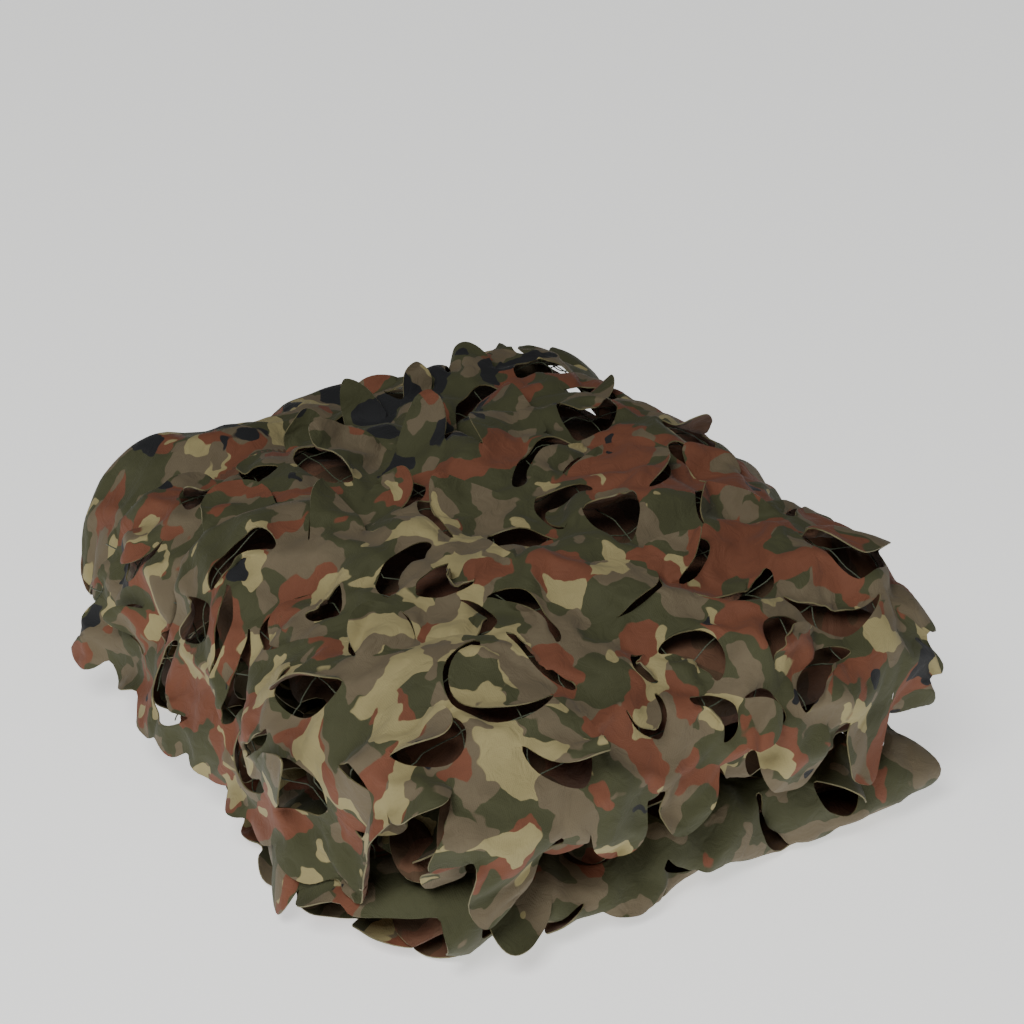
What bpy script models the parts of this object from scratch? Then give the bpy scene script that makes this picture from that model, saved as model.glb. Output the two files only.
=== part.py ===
"""A camouflage net folded into a pack: leaf-cut cloth on a mesh of thin cords.

The cloth is one long strip. It is doubled, then folded back and forth, so the pack is an upper and a lower
packet. Each packet ends at the front in a round fold, a fold of the inner plies makes the rim at the back,
and the top ply hangs over the left side. Rounded tongues are cut in the cloth on three sides. They curl up
and leave leaf-shaped openings beneath them, in which the cord mesh shows.

Metres, +Z up. The origin is on the floor under the middle of the pack. +X runs along the folds, and the
round folds of the two packets face -Y.
"""

import math
import random
from collections import namedtuple

import bmesh
import bpy
from mathutils import Vector

# ---- driving dimensions, in metres ----
PACK_WIDTH = 0.54
PACK_DEPTH = 0.68
PACK_HEIGHT = 0.22
CLOTH = 0.0024
CORD = 0.0020
CORD_GAP = 0.0024

FLOOR_LEVEL = CLOTH / 2
SIDE_BEND = 0.090
SIDE_TURN = math.radians(80)
EDGE_DROOP = 0.012
EDGE_ROWS = 3

# ---- the strip's grid: columns across it, and how many of them are joined in the hidden plies ----
COLUMNS = 36
HIDDEN_STEP = 6

# ---- the cord mesh, in grid steps: how far apart its cords are, and where it starts and ends ----
GRID_STEP = 0.0193
CORD_STEP = 5
CORD_ROWS = (4, 34)
CORD_COLUMNS = (5, 35)

# ---- tongues, in grid steps, radians and metres ----
TONGUE_ROWS = 2
TONGUE_PERIOD_COLUMNS = 4
TONGUE_PERIOD_ROWS = 3
WIDE_SHARE = 0.75
CORNER_ROUNDING = 0.40
TONGUE_NARROWING = 0.006
CURL_LEAST = math.radians(25)
CURL_MOST = math.radians(85)
UNCUT_SHARE = 0.06
LOWEST_CUT = 0.022
SEED = 7

# ---- how the pack's height varies over its footprint, as shares of PACK_HEIGHT ----
MEAN_LOFT = 0.96
LOFT_ACROSS = 0.08
LOFT_TWIST = -0.02
LOFT_CROWN = 0.15

# ---- how far the middle of the front and back edges stands out past their ends, as a share of the depth ----
EDGE_BOW = 0.045

# ---- uneven cloth: soft waves in the plies, each an amplitude and the waves per metre across and back ----
Wave = namedtuple("Wave", "height across back phase")
WAVES = (
    Wave(0.0045, 5.1, 3.3, 0.4),
    Wave(0.0035, -3.7, 6.2, 1.9),
    Wave(0.0020, 8.3, 7.1, 4.0),
)

# ---- the plies, in the order in which the strip runs, from the free edge at the back of the top ply ----
# left and right: how far each side runs before it bends down; hang_left and hang_right: how much of it
# hangs past that bend; slant: how far back the ply moves for each metre to the right. curl: how far its
# tongues curl, as a share, or 0 where it is hidden and not cut.
Sides = namedtuple("Sides", "left right hang_left hang_right slant")
Ply = namedtuple("Ply", "name level rows curl start end")
PLIES = (
    Ply("top", 0.226, 29, 1, Sides(0.182, 0.206, 0.205, 0.100, 0.10), Sides(0.178, 0.182, 0.252, 0.100, 0)),
    Ply("upper_under", 0.090, 3, 0, Sides(0.220, 0.228, 0, 0, 0), Sides(0.220, 0.230, 0, 0, 0)),
    Ply("lower_over", 0.070, 3, 0, Sides(0.220, 0.232, 0, 0, 0), Sides(0.222, 0.248, 0, 0, -0.03)),
    Ply("bottom", FLOOR_LEVEL, 4, 0, Sides(0.226, 0.248, 0, 0, -0.03), Sides(0.228, 0.242, 0, 0, 0)),
    Ply("bottom_inner", 0.022, 3, 0, Sides(0.222, 0.236, 0, 0, 0), Sides(0.218, 0.240, 0, 0, -0.03)),
    Ply("lower_inner", 0.048, 3, 0, Sides(0.216, 0.240, 0, 0, -0.03), Sides(0.218, 0.230, 0, 0, 0)),
    Ply("upper_inner", 0.116, 3, 0, Sides(0.216, 0.228, 0, 0, 0), Sides(0.214, 0.222, 0, 0, 0)),
    Ply("top_inner", 0.197, 4, 0, Sides(0.175, 0.185, 0.020, 0.020, 0), Sides(0.165, 0.200, 0.100, 0.03, 0)),
    Ply("tuck", 0.143, 3, 0, Sides(0.190, 0.205, 0.035, 0.01, 0), Sides(0.200, 0.205, 0, 0, 0)),
)

# ---- the edges at which the plies turn, and where the strip starts and ends ----
# y: how far back or forward; first_curl and last_curl: how far the tongues curl where the fold starts and
# where it ends.
Edge = namedtuple("Edge", "name y rows first_curl last_curl")
EDGES = (
    Edge("free_back", 0.286, 0, 0, 0),
    Edge("upper_front", -0.270, 9, 1.0, 0.25),
    Edge("middle_back", 0.242, 2, 0, 0),
    Edge("lower_front", -0.288, 6, 0.3, 0.9),
    Edge("end_back", 0.292, 3, 0, 0),
    Edge("lower_front_inner", -0.280, 3, 0, 0),
    Edge("back_outer", 0.258, 4, 0, 0),
    Edge("upper_front_inner", -0.266, 4, 0, 0),
    Edge("rim", 0.300, 5, 0, 0),
    Edge("tuck_end", -0.240, 0, 0, 0),
)

# A place on the strip: its section point, and its sides there.
Station = namedtuple("Station", "y z sides curl")


def between(a, b, share):
    return a + (b - a) * share


def sides_between(first, last, share):
    return Sides(*(between(a, b, share) for a, b in zip(first, last)))


def straight(ply, start, end):
    """Stations along a flat ply, from one edge up to the next one."""
    found = []
    for k in range(ply.rows):
        share = k / ply.rows
        sides = sides_between(ply.start, ply.end, share)
        found.append(Station(between(start, end, share), ply.level, sides, ply.curl))
    return found


def round_fold(edge, first, last):
    """Stations round the half circle that joins two plies at a front or back edge."""
    radius = abs(first.level - last.level) / 2
    middle = (first.level + last.level) / 2
    rise = 1 if last.level > first.level else -1
    outwards = 1 if edge.y > 0 else -1
    found = []
    for k in range(edge.rows):
        share = k / edge.rows
        turn = share * math.pi
        y = edge.y + outwards * radius * math.sin(turn)
        z = middle - rise * radius * math.cos(turn)
        curl = between(edge.first_curl, edge.last_curl, share) if z > LOWEST_CUT else 0
        found.append(Station(y, z, sides_between(first.end, last.start, share), curl))
    return found


def strip_stations():
    """Every station of the strip, from the free edge of the top ply to the end that is tucked in."""
    stations = []
    for ply, start, end, following in zip(PLIES, EDGES, EDGES[1:], PLIES[1:] + (None,)):
        stations += straight(ply, start.y, end.y)
        if following:
            stations += round_fold(end, ply, following)
    last = PLIES[-1]
    stations.append(Station(EDGES[-1].y, last.level, last.end, last.curl))
    for k in range(EDGE_ROWS):
        droop = EDGE_DROOP * (1 - k / EDGE_ROWS) ** 2
        stations[k] = stations[k]._replace(z=stations[k].z - droop)
    return stations


def side(distance, flat):
    """How far out and how far down a point lies that is this far from the middle, along a side that bends."""
    past = distance - flat
    if past <= 0:
        return distance, 0.0
    turn = min(past / SIDE_BEND, SIDE_TURN)
    rest = past - turn * SIDE_BEND
    out = flat + SIDE_BEND * math.sin(turn) + rest * math.cos(turn)
    return out, SIDE_BEND * (1 - math.cos(turn)) + rest * math.sin(turn)


def loft(x, y):
    """The height of the pack here, as a share of its full height."""
    across = max(-1.0, min(1.0, 2 * x / PACK_WIDTH))
    back = max(-1.0, min(1.0, 2 * y / PACK_DEPTH))
    crown = LOFT_CROWN * (1 - across * across) * (1 - back * back)
    return MEAN_LOFT + LOFT_ACROSS * across + LOFT_TWIST * across * back + crown


def unevenness(x, y, level):
    """The height of the cloth's soft waves here. They die out towards the floor."""
    waves = sum(
        wave.height * math.sin(2 * math.pi * (wave.across * x + wave.back * y) + wave.phase)
        for wave in WAVES
    )
    return waves * min(1.0, max(0.0, (level - FLOOR_LEVEL) / (PACK_HEIGHT / 2)))


def place(station, share):
    """The point of the strip at a station and at a share of its width, counted from the left edge."""
    sides = station.sides
    left, right = sides.left + sides.hang_left, sides.right + sides.hang_right
    across = between(-left, right, share)
    out, drop = side(abs(across), sides.left if across < 0 else sides.right)
    x = math.copysign(out, across)
    middle = max(0.0, 1 - (2 * x / PACK_WIDTH) ** 2)
    y = station.y * (1 + EDGE_BOW * middle) + sides.slant * x
    level = max(FLOOR_LEVEL, station.z - drop)
    z = FLOOR_LEVEL + (level - FLOOR_LEVEL) * loft(x, y)
    return Vector((x, y, z + unevenness(x, y, level)))


def surface_grid(stations):
    """The strip's points, a list for each station."""
    return [[place(station, c / COLUMNS) for c in range(COLUMNS + 1)] for station in stations]


def outward(points, row, column):
    """The strip's normal at a grid point, on the side that faces out of the pack."""
    along = points[min(row + 1, len(points) - 1)][column] - points[max(row - 1, 0)][column]
    across = points[row][min(column + 1, COLUMNS)] - points[row][max(column - 1, 0)]
    return along.cross(across).normalized()


# ---- the tongues ----
# The cut runs round the cells from column to column + width. The hinge is on the tongue's first row or,
# turned round, on its last one. curl_left and curl_right: how far each of its sides bends up.
Tongue = namedtuple("Tongue", "row column width turned curl_left curl_right")


def tongues(stations):
    """Rounded tongues, staggered over the parts of the strip that show."""
    chance = random.Random(SEED)
    found = []
    line = 0
    row = 1
    while row + TONGUE_ROWS < len(stations):
        cut = all(station.curl for station in stations[row - 1 : row + TONGUE_ROWS + 1])
        if not cut:
            row += 1
            continue
        first = 1 + (line % 2) * (TONGUE_PERIOD_COLUMNS // 2)
        for column in range(first, COLUMNS - TONGUE_PERIOD_COLUMNS + 1, TONGUE_PERIOD_COLUMNS):
            width = TONGUE_PERIOD_COLUMNS - (1 if chance.random() < WIDE_SHARE else 2)
            turned = chance.random() < 0.5
            curls = [chance.uniform(CURL_LEAST, CURL_MOST) * stations[row + 1].curl for _ in range(2)]
            if chance.random() > UNCUT_SHARE:
                found.append(Tongue(row, column, width, turned, *curls))
        row += TONGUE_PERIOD_ROWS
        line += 1
    return found


def slit_steps(tongue):
    """The grid points along a tongue's cut, from one end of its hinge to the other, as (row, column)."""
    rows = list(range(tongue.row, tongue.row + TONGUE_ROWS + 1))
    if tongue.turned:
        rows.reverse()
    left, right = tongue.column, tongue.column + tongue.width
    down = [(row, left) for row in rows]
    across = [(rows[-1], column) for column in range(left + 1, right)]
    up = [(row, right) for row in reversed(rows)]
    return down + across + up


def cut_tongue(mesh, grid, tongue):
    """Cuts a tongue free of the cloth on three sides."""
    steps = slit_steps(tongue)
    edges = []
    for here, there in zip(steps, steps[1:]):
        a, b = grid[here], grid[there]
        edges.append(next(edge for edge in a.link_edges if edge.other_vert(a) == b))
    bmesh.ops.split_edges(mesh, edges=edges)


def numbered_grid(rows, columns):
    """A flat grid whose points know their row and column, and the points by row and column."""
    mesh = bmesh.new()
    row_of = mesh.verts.layers.int.new("row")
    column_of = mesh.verts.layers.int.new("column")
    where = {}
    for vertex in bmesh.ops.create_grid(mesh, x_segments=columns, y_segments=rows, size=0.5)["verts"]:
        vertex[row_of] = round((vertex.co.y + 0.5) * rows)
        vertex[column_of] = round((vertex.co.x + 0.5) * columns)
        where[(vertex[row_of], vertex[column_of])] = vertex
    return mesh, where, row_of, column_of


def make_strip_mesh(stations, points):
    """The strip as an open surface, cut and with its tongues curled up."""
    mesh, where, row_of, column_of = numbered_grid(len(stations) - 1, COLUMNS)
    cuts = tongues(stations)
    for tongue in cuts:
        cut_tongue(mesh, where, tongue)

    target = {(row, column): points[row][column].copy() for row, column in where}
    for tongue in cuts:
        round_corners(target, points, tongue)
    for vertex in mesh.verts:
        vertex.co = target[(vertex[row_of], vertex[column_of])]
    curl_tongues(mesh, cuts, points, row_of, column_of)
    join_hidden_columns(mesh, stations, row_of, column_of)
    bmesh.ops.recalc_face_normals(mesh, faces=mesh.faces)
    return mesh


def round_corners(target, points, tongue):
    """Draws the two far corners of a tongue's cut in, and keeps them on the bent cloth."""
    tip = tongue.row if tongue.turned else tongue.row + TONGUE_ROWS
    inner = tip + (1 if tongue.turned else -1)
    for column, step in ((tongue.column, 1), (tongue.column + tongue.width, -1)):
        corner, middle = points[tip][column], points[inner][column + step]
        facing = outward(points, tip, column)
        bulge = (middle - corner).dot(outward(points, inner, column + step) - facing) / 2
        rise = bulge * CORNER_ROUNDING * (1 - CORNER_ROUNDING)
        target[(tip, column)] = corner.lerp(middle, CORNER_ROUNDING) + facing * rise


def curl_tongues(mesh, cuts, points, row_of, column_of):
    """Bends each tongue up from its hinge on an arc."""
    owner = {}
    for tongue in cuts:
        for row in range(tongue.row, tongue.row + TONGUE_ROWS):
            for column in range(tongue.column, tongue.column + tongue.width):
                owner[(row, column)] = tongue
    moved = {}
    for face in mesh.faces:
        row = min(vertex[row_of] for vertex in face.verts)
        column = min(vertex[column_of] for vertex in face.verts)
        tongue = owner.get((row, column))
        if tongue:
            moved.update((vertex, tongue) for vertex in face.verts)
    for vertex, tongue in moved.items():
        row, column = vertex[row_of], vertex[column_of]
        hinge_row, tip_row = tongue.row, tongue.row + TONGUE_ROWS
        if tongue.turned:
            hinge_row, tip_row = tip_row, hinge_row
        if row == hinge_row:
            continue
        hinge = points[hinge_row][column]
        length = (points[tip_row][column] - hinge).length
        curl = between(tongue.curl_left, tongue.curl_right, (column - tongue.column) / tongue.width)
        radius = length / curl
        reach = vertex.co - hinge
        turn = reach.length / radius
        normal = outward(points, hinge_row, column)
        arc = reach.normalized() * math.sin(turn) + normal * (1 - math.cos(turn))
        far_corner = points[hinge_row][tongue.column + tongue.width]
        inwards = (far_corner - points[hinge_row][tongue.column]).normalized()
        off_centre = (column - tongue.column) / tongue.width - 0.5
        vertex.co = hinge + arc * radius - inwards * off_centre * TONGUE_NARROWING
        vertex.co.z = max(vertex.co.z, FLOOR_LEVEL)


def join_hidden_columns(mesh, stations, row_of, column_of):
    """Leaves the plies that don't show with fewer columns."""
    spare = []
    for edge in mesh.edges:
        a, b = edge.verts
        column = a[column_of]
        lengthways = column == b[column_of] and a[row_of] != b[row_of]
        hidden = not any(stations[max(0, vertex[row_of] - 1)].curl for vertex in (a, b))
        if lengthways and hidden and column % HIDDEN_STEP:
            spare.append(edge)
    bmesh.ops.dissolve_edges(mesh, edges=spare, use_verts=True)


# ---- the cord mesh ----
# A line of its grid: where it lies on the strip's grid, and whether a cord fills the gap up to the next line.
Line = namedtuple("Line", "place cord")


def cord_lines(first, last):
    """The lines of the cord mesh's grid in one direction: two for each cord, and the strip's own lines."""
    half = CORD / 2 / GRID_STEP
    lines = []
    for place_on_strip in range(first, last + 1):
        if (place_on_strip - first) % CORD_STEP == 0:
            lines += [Line(place_on_strip - half, True), Line(place_on_strip + half, False)]
        else:
            lines.append(Line(place_on_strip, False))
    return lines


def blended(grid, row, column):
    """The point of a grid between four of its points."""
    r, c = int(row), int(column)
    near = grid[r][c].lerp(grid[r][c + 1], column - c)
    far = grid[r + 1][c].lerp(grid[r + 1][c + 1], column - c)
    return near.lerp(far, row - r)


def make_cord_mesh(points):
    """The mesh of crossing cords under the top ply and its front fold, as an open surface."""
    depth = CLOTH / 2 + CORD_GAP + CORD / 2
    under = [
        [point - outward(points, row, column) * depth for column, point in enumerate(line)]
        for row, line in enumerate(points)
    ]
    rows = cord_lines(*CORD_ROWS)
    columns = cord_lines(*CORD_COLUMNS)
    mesh, where, row_of, column_of = numbered_grid(len(rows) - 1, len(columns) - 1)
    empty = []
    for face in mesh.faces:
        row = min(vertex[row_of] for vertex in face.verts)
        column = min(vertex[column_of] for vertex in face.verts)
        if not (rows[row].cord or columns[column].cord):
            empty.append(face)
    bmesh.ops.delete(mesh, geom=empty, context="FACES")
    for vertex in mesh.verts:
        vertex.co = blended(under, rows[vertex[row_of]].place, columns[vertex[column_of]].place)
    bmesh.ops.recalc_face_normals(mesh, faces=mesh.faces)
    return mesh


def finished(name, mesh, thickness, colour, roughness, collection):
    """An object made of an open surface given its thickness, with its material."""
    bmesh.ops.triangulate(mesh, faces=mesh.faces)  # so that both faces of the cloth bend on the same lines
    data = bpy.data.meshes.new(name)
    mesh.to_mesh(data)
    mesh.free()
    obj = bpy.data.objects.new(name, data)
    collection.objects.link(obj)
    shell = obj.modifiers.new("thickness", "SOLIDIFY")
    shell.thickness = thickness
    shell.offset = 0
    material = bpy.data.materials.new(name)
    material.use_nodes = True
    surface = material.node_tree.nodes["Principled BSDF"]
    surface.inputs["Base Color"].default_value = (*colour, 1)
    surface.inputs["Roughness"].default_value = roughness
    surface.inputs["Metallic"].default_value = 0
    data.materials.append(material)
    return obj


def centre_over_origin(pieces):
    """Moves the pieces sideways until the origin lies under the middle of the box that holds them."""
    bpy.context.view_layer.update()
    depsgraph = bpy.context.evaluated_depsgraph_get()
    corners = [Vector(corner) for piece in pieces for corner in piece.evaluated_get(depsgraph).bound_box]
    for axis in (0, 1):
        middle = (min(c[axis] for c in corners) + max(c[axis] for c in corners)) / 2
        for piece in pieces:
            piece.location[axis] = -middle


def main():
    for obj in list(bpy.data.objects):
        bpy.data.objects.remove(obj)
    net = bpy.data.collections.new("camouflage_net")
    bpy.context.scene.collection.children.link(net)
    stations = strip_stations()
    points = surface_grid(stations)
    cloth = finished("leaf_cloth", make_strip_mesh(stations, points), CLOTH, (0.10, 0.11, 0.06), 0.85, net)
    cords = finished("cord_mesh", make_cord_mesh(points), CORD, (0.16, 0.19, 0.10), 0.7, net)
    centre_over_origin((cloth, cords))


main()
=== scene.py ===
"""The looks of a folded camouflage net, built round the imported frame.

The net is printed polyester cloth, cut into leaves, on a mesh of thin cords. The cloth is one long strip
folded back and forth, made here as an outer and an inner piece. It is laid out flat first, in metres across
(u) and along the strip (v). Its outline and the cuts of its leaves are drawn there and filled with triangles,
which are then bent on to the folds that the frame's solids have, opened along the cuts and lifted.
"""

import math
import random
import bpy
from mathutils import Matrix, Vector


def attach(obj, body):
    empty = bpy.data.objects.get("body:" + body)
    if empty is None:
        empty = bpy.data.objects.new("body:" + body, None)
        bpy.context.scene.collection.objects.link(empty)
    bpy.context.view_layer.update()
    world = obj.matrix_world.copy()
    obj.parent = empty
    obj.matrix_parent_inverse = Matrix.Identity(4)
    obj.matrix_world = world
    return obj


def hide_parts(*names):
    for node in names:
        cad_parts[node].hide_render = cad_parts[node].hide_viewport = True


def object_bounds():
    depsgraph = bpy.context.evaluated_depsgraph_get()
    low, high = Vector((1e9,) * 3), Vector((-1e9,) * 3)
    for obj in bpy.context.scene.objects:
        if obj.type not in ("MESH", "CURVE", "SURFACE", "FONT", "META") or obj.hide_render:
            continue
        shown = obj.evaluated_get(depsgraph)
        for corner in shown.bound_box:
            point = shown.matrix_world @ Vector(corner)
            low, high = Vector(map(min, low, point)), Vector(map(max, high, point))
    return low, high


bl_info = {
    "name": "Folded camouflage net",
    "version": (1, 0, 0),
    "blender": (4, 5, 0),
    "location": "3D View > Sidebar > Net",
    "description": "Leaf-cut cloth and cord mesh for a folded camouflage net",
    "category": "Object",
}

from collections import namedtuple

import bmesh
import bpy
import numpy as np
from mathutils import Vector, kdtree, noise
from mathutils.geometry import delaunay_2d_cdt

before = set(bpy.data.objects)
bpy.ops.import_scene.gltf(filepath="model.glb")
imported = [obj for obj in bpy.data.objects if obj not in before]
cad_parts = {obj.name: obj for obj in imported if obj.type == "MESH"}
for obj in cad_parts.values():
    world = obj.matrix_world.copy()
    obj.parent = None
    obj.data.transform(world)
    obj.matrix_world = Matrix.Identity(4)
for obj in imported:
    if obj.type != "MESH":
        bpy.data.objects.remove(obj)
CAD_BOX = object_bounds()

# ---- the folded pack, in metres: the same sizes as the solids ----
PACK_WIDTH = 0.54
PACK_DEPTH = 0.68
PACK_HEIGHT = 0.22
PACK_OFFSET = (0.0042, 0.0085, 0.0)
FLOOR_LEVEL = 0.0012
SIDE_BEND = 0.090
SIDE_TURN = math.radians(80)
EDGE_DROOP = 0.012
EDGE_DROOP_LENGTH = 0.058
MEAN_LOFT = 0.96
LOFT_ACROSS = 0.08
LOFT_TWIST = -0.02
LOFT_CROWN = 0.15
EDGE_BOW = 0.045

Wave = namedtuple("Wave", "height across back phase")
WAVES = (
    Wave(0.0045, 5.1, 3.3, 0.4),
    Wave(0.0035, -3.7, 6.2, 1.9),
    Wave(0.0020, 8.3, 7.1, 4.0),
)

# The plies in the order in which the strip runs, and the edges at which they turn.
# left and right: how far each side runs before it bends down; hang_left and hang_right: how much hangs past
# that bend; slant: how far back the ply moves for each metre to the right.
Sides = namedtuple("Sides", "left right hang_left hang_right slant")
Ply = namedtuple("Ply", "name level start end")
PLIES = (
    Ply("top", 0.226, Sides(0.182, 0.206, 0.205, 0.100, 0.10), Sides(0.178, 0.182, 0.252, 0.100, 0)),
    Ply("upper_under", 0.090, Sides(0.220, 0.228, 0, 0, 0), Sides(0.220, 0.230, 0, 0, 0)),
    Ply("lower_over", 0.070, Sides(0.220, 0.232, 0, 0, 0), Sides(0.222, 0.248, 0, 0, -0.03)),
    Ply("bottom", FLOOR_LEVEL, Sides(0.226, 0.248, 0, 0, -0.03), Sides(0.228, 0.242, 0, 0, 0)),
    Ply("bottom_inner", 0.022, Sides(0.222, 0.236, 0, 0, 0), Sides(0.218, 0.240, 0, 0, -0.03)),
    Ply("lower_inner", 0.048, Sides(0.216, 0.240, 0, 0, -0.03), Sides(0.218, 0.230, 0, 0, 0)),
    Ply("upper_inner", 0.116, Sides(0.216, 0.228, 0, 0, 0), Sides(0.214, 0.222, 0, 0, 0)),
    Ply("top_inner", 0.197, Sides(0.175, 0.185, 0.020, 0.020, 0), Sides(0.165, 0.200, 0.100, 0.03, 0)),
    Ply("tuck", 0.143, Sides(0.190, 0.205, 0.035, 0.01, 0), Sides(0.200, 0.205, 0, 0, 0)),
)
Edge = namedtuple("Edge", "name y")
EDGES = (
    Edge("free_back", 0.286),
    Edge("upper_front", -0.270),
    Edge("middle_back", 0.242),
    Edge("lower_front", -0.288),
    Edge("end_back", 0.292),
    Edge("lower_front_inner", -0.280),
    Edge("back_outer", 0.258),
    Edge("upper_front_inner", -0.266),
    Edge("rim", 0.300),
    Edge("tuck_end", -0.240),
)
SECTION_STEPS = 24
OVERLAP_UNDER = 0.10  # how far the outer cloth runs on under the upper packet, to where the inner one starts
PARTING = 0.002  # the gap between the end of the outer cloth and the start of the inner one


def srgb(code):
    """The linear colour of an sRGB hex code."""
    parts = [int(code[k : k + 2], 16) / 255 for k in (1, 3, 5)]
    return tuple(c / 12.92 if c <= 0.04045 else ((c + 0.055) / 1.055) ** 2.4 for c in parts)


def between(a, b, share):
    return a + (b - a) * share


def ramp(values, start, length):
    """A share that grows from 0 to 1 over a length."""
    return np.clip((values - start) / length, 0, 1)


def bulge(values, middle, length, most):
    """A smooth rise round a middle."""
    return most * np.exp(-(((values - middle) / length) ** 2))


# ---- the folds ----
def walk_section():
    """The strip's section: the distance along it, and for each place y, z and the sides, and where each
    ply and fold starts."""
    rows = []
    starts = []
    for ply, start, end, following in zip(PLIES, EDGES, EDGES[1:], PLIES[1:] + (None,)):
        starts.append((ply.name, len(rows)))
        for k in range(SECTION_STEPS):
            share = k / SECTION_STEPS
            sides = [between(a, b, share) for a, b in zip(ply.start, ply.end)]
            rows.append([between(start.y, end.y, share), ply.level] + sides)
        if not following:
            rows.append([end.y, ply.level] + list(ply.end))
            continue
        starts.append((end.name, len(rows)))
        radius = abs(ply.level - following.level) / 2
        middle = (ply.level + following.level) / 2
        rise = 1 if following.level > ply.level else -1
        outwards = 1 if end.y > 0 else -1
        for k in range(SECTION_STEPS):
            share = k / SECTION_STEPS
            turn = share * math.pi
            sides = [between(a, b, share) for a, b in zip(ply.end, following.start)]
            y = end.y + outwards * radius * math.sin(turn)
            rows.append([y, middle - rise * radius * math.cos(turn)] + sides)
    table = np.array(rows)
    steps = np.hypot(np.diff(table[:, 0]), np.diff(table[:, 1]))
    along = np.concatenate([[0.0], np.cumsum(steps)])
    return along, table.T, {name: along[k] for name, k in starts}


ALONG, SECTION, START = walk_section()
STRIP_LENGTH = ALONG[-1]
INNER_START = START["upper_under"] + OVERLAP_UNDER + PARTING


def section_at(v):
    """y, z, left, right, hang_left, hang_right and slant at distances along the strip."""
    return [np.interp(v, ALONG, column) for column in SECTION]


def place(flat):
    """The points of the folded cloth for points of the flat one, before it is uneven."""
    u, v = flat[:, 0], flat[:, 1]
    y0, z0, left, right, _, _, slant = section_at(v)
    z0 = z0 - EDGE_DROOP * np.clip(1 - v / EDGE_DROOP_LENGTH, 0, 1) ** 2
    run = np.where(u < 0, left, right)
    past = np.maximum(np.abs(u) - run, 0)
    turn = np.minimum(past / SIDE_BEND, SIDE_TURN)
    rest = past - turn * SIDE_BEND
    out = np.minimum(np.abs(u), run) + SIDE_BEND * np.sin(turn) + rest * np.cos(turn)
    drop = SIDE_BEND * (1 - np.cos(turn)) + rest * np.sin(turn)
    x = np.copysign(out, u)
    middle = np.maximum(0, 1 - (2 * x / PACK_WIDTH) ** 2)
    y = y0 * (1 + EDGE_BOW * middle) + slant * x
    level = np.maximum(FLOOR_LEVEL, z0 - drop)
    across = np.clip(2 * x / PACK_WIDTH, -1, 1)
    back = np.clip(2 * y / PACK_DEPTH, -1, 1)
    crown = LOFT_CROWN * (1 - across**2) * (1 - back**2)
    loft = MEAN_LOFT + LOFT_ACROSS * across + LOFT_TWIST * across * back + crown
    z = FLOOR_LEVEL + (level - FLOOR_LEVEL) * loft
    share = np.clip((level - FLOOR_LEVEL) / (PACK_HEIGHT / 2), 0, 1)
    for wave in WAVES:
        z = z + share * wave.height * np.sin(2 * math.pi * (wave.across * x + wave.back * y) + wave.phase)
    return np.stack([x, y, z], 1) + np.array(PACK_OFFSET)


def unit(vectors):
    return vectors / np.maximum(np.linalg.norm(vectors, axis=1, keepdims=True), 1e-12)


SLOPE_STEP = 0.002


def facing(flat):
    """The folded cloth's normals, on the printed side, for points of the flat one."""
    across = place(flat + (SLOPE_STEP, 0)) - place(flat - (SLOPE_STEP, 0))
    along = place(flat + (0, SLOPE_STEP)) - place(flat - (0, SLOPE_STEP))
    return unit(np.cross(along, across))


# ---- the outlines of the flat cloth, in metres ----
# where the free back end is cut back: places across, and how much
BACK_TRIM = ((-0.33, -0.20, -0.06, 0.0, 0.12, 0.28), (0.060, 0.060, 0.050, 0.034, 0.044, 0.032))
# how much of the outer cloth's left side hangs past its bend: distances along the strip, and the shares
LEFT_TRIM = (
    (0.06, 0.20, 0.48, 0.54, 0.575, 0.63, 0.90, 1.10),
    (1.0, 0.95, 0.90, 0.86, 0.66, 0.15, 0.15, 1.0),
)
# where sides reach out further: how far along the strip, over what length, and how much
OUTER_RIGHT_END = (0.50, 0.08, 0.050)
LEFT_ENDS = (
    (1.73, 0.10, 0.075),
    (1.92, 0.07, -0.035),
    (2.12, 0.12, 0.012),
    (2.98, 0.11, 0.050),
    (3.34, 0.11, 0.015),
    (START["rim"] + 0.03, 0.09, 0.040),
)
RIGHT_ENDS = ((4.64, 0.18, 0.045), (4.92, 0.16, 0.045))
# the leaf tips on the edges: their least and most width, depth and lean, how blunt they are, and what share
# of their depth the notches between them are cut back
TIP_WIDTH = (0.045, 0.075)
TIP_DEPTH = (0.014, 0.026)
TIP_LEAN = (0.7, 1.4)
TIP_SHAPE = 0.55
TIP_NOTCH = 0.35
OUTER_RIGHT_DEEPER = 1.35
INNER_RIGHT_DEEPER = 1.4
EDGE_STEP = 0.005
STRAIGHT_STEP = 0.006
BACK_STEPS = 120
CORNER_ROUNDING = (0.01, 0.02)  # how far the corners of the free back end are left out, across and along


def reach_of(v, side):
    """How far across the outer cloth reaches at distances along it. Side -1 is the left one, which is cut
    back where the cloth turns under at the front. Side 1 hangs lower just before that."""
    _, _, left, right, hang_left, hang_right, _ = section_at(v)
    if side < 0:
        return -(left + hang_left * np.interp(v, *LEFT_TRIM))
    return right + (hang_right + bulge(v, *OUTER_RIGHT_END))


def inner_reach(v, side):
    """The same for the inner cloth, whose ends reach out further in some places."""
    _, _, left, right, hang_left, hang_right, _ = section_at(v)
    further = sum(bulge(v, *end) for end in (LEFT_ENDS if side < 0 else RIGHT_ENDS))
    return side * (further + (left + hang_left if side < 0 else right + hang_right))


def from_side(flat):
    """How far points of the flat inner cloth are from its nearer side edge."""
    u, v = flat.T
    return np.where(u < 0, -inner_reach(v, -1), inner_reach(v, 1)) - np.abs(u)


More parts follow.
